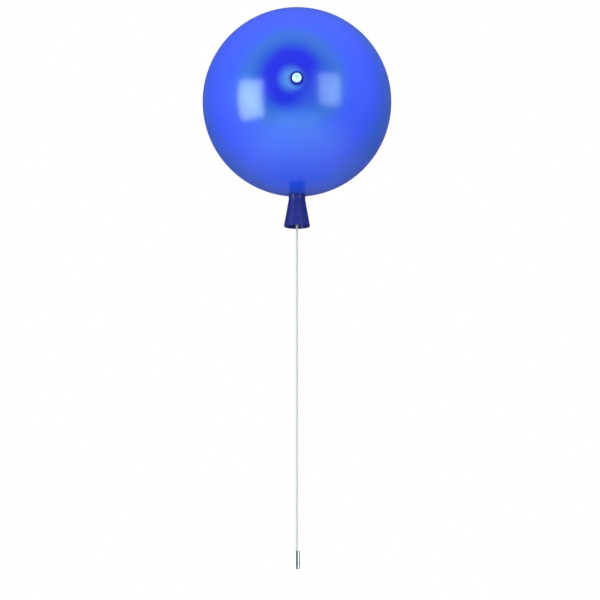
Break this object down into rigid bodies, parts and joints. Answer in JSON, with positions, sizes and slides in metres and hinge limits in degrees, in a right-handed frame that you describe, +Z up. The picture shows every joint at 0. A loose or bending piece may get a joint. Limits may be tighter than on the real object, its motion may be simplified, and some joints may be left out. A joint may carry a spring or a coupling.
{
  "type": "balloon-shaped wall lamp with pull cord",
  "caption": "Balloon-shaped wall lamp: a translucent blue acrylic globe on a steel pan, held by a front screw, with a hollow knot cone and a pull-cord switch.",
  "frame": {"origin": "centre of the two wall screw slots, on the wall plane behind the pan", "axes": "+Z up along the hanging cord, the lamp's front faces -Y, +X to the right seen from the front"},
  "size_m": [0.2499, 0.2643, 0.7375],
  "materials": {
    "zinc_steel": "bright zinc plate",
    "white_paint": "semi-gloss powder coat",
    "gasket_foam": "soft foam",
    "dark_rubber": "matt",
    "terminal_plastic": "moulded",
    "brass": "machined",
    "earth_green": "green passivated",
    "earth_insulation": "green and yellow insulation",
    "lead_sheath": "soft sheath",
    "pillar_steel": "turned and plated",
    "white_nylon": "moulded",
    "blue_acrylic": "translucent, polished outside",
    "cup_rubber": "smooth, dark navy",
    "chrome": "polished",
    "holder_plastic": "moulded",
    "ceramic": "glazed",
    "nickel": "nickel plate",
    "black_glass": "fused",
    "circuit_board": "white solder mask",
    "led_phosphor": "phosphor gel",
    "opal_plastic": "opal",
    "navy_plastic": "satin moulded",
    "cord_braid": "round braid",
    "spring_steel": "blued strip",
    "red_nylon": "moulded",
    "connector_plastic": "moulded"
  },
  "bodies": {
    "lamp": {"wall_bracket": "zinc_steel", "bracket_nut": "zinc_steel", "pillar_stud": "zinc_steel", "base_pan": "white_paint", "rim_gasket": "gasket_foam", "pan_washer": "zinc_steel", "cable_grommet": "dark_rubber", "terminal_block": "terminal_plastic", "terminal_sleeves": "brass", "terminal_screws": "zinc_steel", "block_screw": "zinc_steel", "earth_lug": "brass", "earth_screw": "earth_green", "earth_lead": "earth_insulation", "holder_lead": "lead_sheath", "switch_lead": "lead_sheath", "centre_pillar": "pillar_steel", "spreader_washer": "white_nylon", "globe": "blue_acrylic", "cup_washer": "cup_rubber", "holder_nipple": "brass", "nipple_nut": "brass", "holder_cap": "holder_plastic", "holder_skirt": "holder_plastic", "contact_block": "ceramic", "thread_sleeve": "brass", "centre_contact": "brass", "knot_cone": "navy_plastic", "switch_case": "white_nylon", "switch_lid": "white_nylon", "cord_eyelet": "nickel", "drum_pin": "zinc_steel", "drum_spring": "spring_steel", "contact_blades": "brass", "switch_terminals": "brass"},
    "front_screw": {"globe_screw": "chrome"},
    "bulb": {"bulb_base": "nickel", "bulb_insulator": "black_glass", "bulb_tip": "nickel", "bulb_body": "holder_plastic", "led_board": "circuit_board", "led_chips": "led_phosphor", "bulb_diffuser": "opal_plastic"},
    "thin_cord": {"thin_cord": "cord_braid"},
    "drum": {"cord_drum": "white_nylon", "wound_cord": "cord_braid"},
    "rotor": {"contact_rotor": "red_nylon"},
    "swivel": {"swivel_ball": "nickel"},
    "hanging_cord": {"cord_connector": "connector_plastic", "cord": "cord_braid", "cord_knot": "cord_braid", "pull_weight": "chrome"}
  },
  "joints": [
    {"name": "pull_slide", "type": "slide", "parent": "lamp", "child": "thin_cord", "axis": [0, 0, -1], "range_m": [0, 0.008], "stiffness_N_per_m": 500, "springref_m": -0.008},
    {"name": "drum_turn", "type": "hinge", "parent": "lamp", "child": "drum", "pos_m": [0, -0.13034, -0.127], "axis": [1, 0, 0], "range_deg": [0, 143.5]},
    {"name": "rotor_turn", "type": "hinge", "parent": "lamp", "child": "rotor", "pos_m": [0, -0.13034, -0.127], "axis": [1, 0, 0], "range_deg": [0, 143.5]},
    {"name": "swing_fore_aft", "type": "hinge", "parent": "thin_cord", "child": "swivel", "pos_m": [0, -0.13354, -0.1495], "axis": [1, 0, 0], "range_deg": [-18, 18]},
    {"name": "swing_sideways", "type": "hinge", "parent": "swivel", "child": "hanging_cord", "pos_m": [0, -0.13354, -0.1495], "axis": [0, 1, 0], "range_deg": [-18, 18]},
    {"name": "front_screw_turn", "type": "hinge", "parent": "lamp", "child": "front_screw", "pos_m": [0, -0.26, 0], "axis": [0, 1, 0], "continuous": true},
    {"name": "bulb_turn", "type": "hinge", "parent": "lamp", "child": "bulb", "pos_m": [0, -0.06, 0.034], "axis": [0, 1, 0], "continuous": true}
  ],
  "couplings": [
    {"joint": "drum_turn", "follows": "pull_slide", "rad_per_m": 312.5},
    {"joint": "rotor_turn", "follows": "pull_slide", "rad_per_m": 312.5}
  ]
}
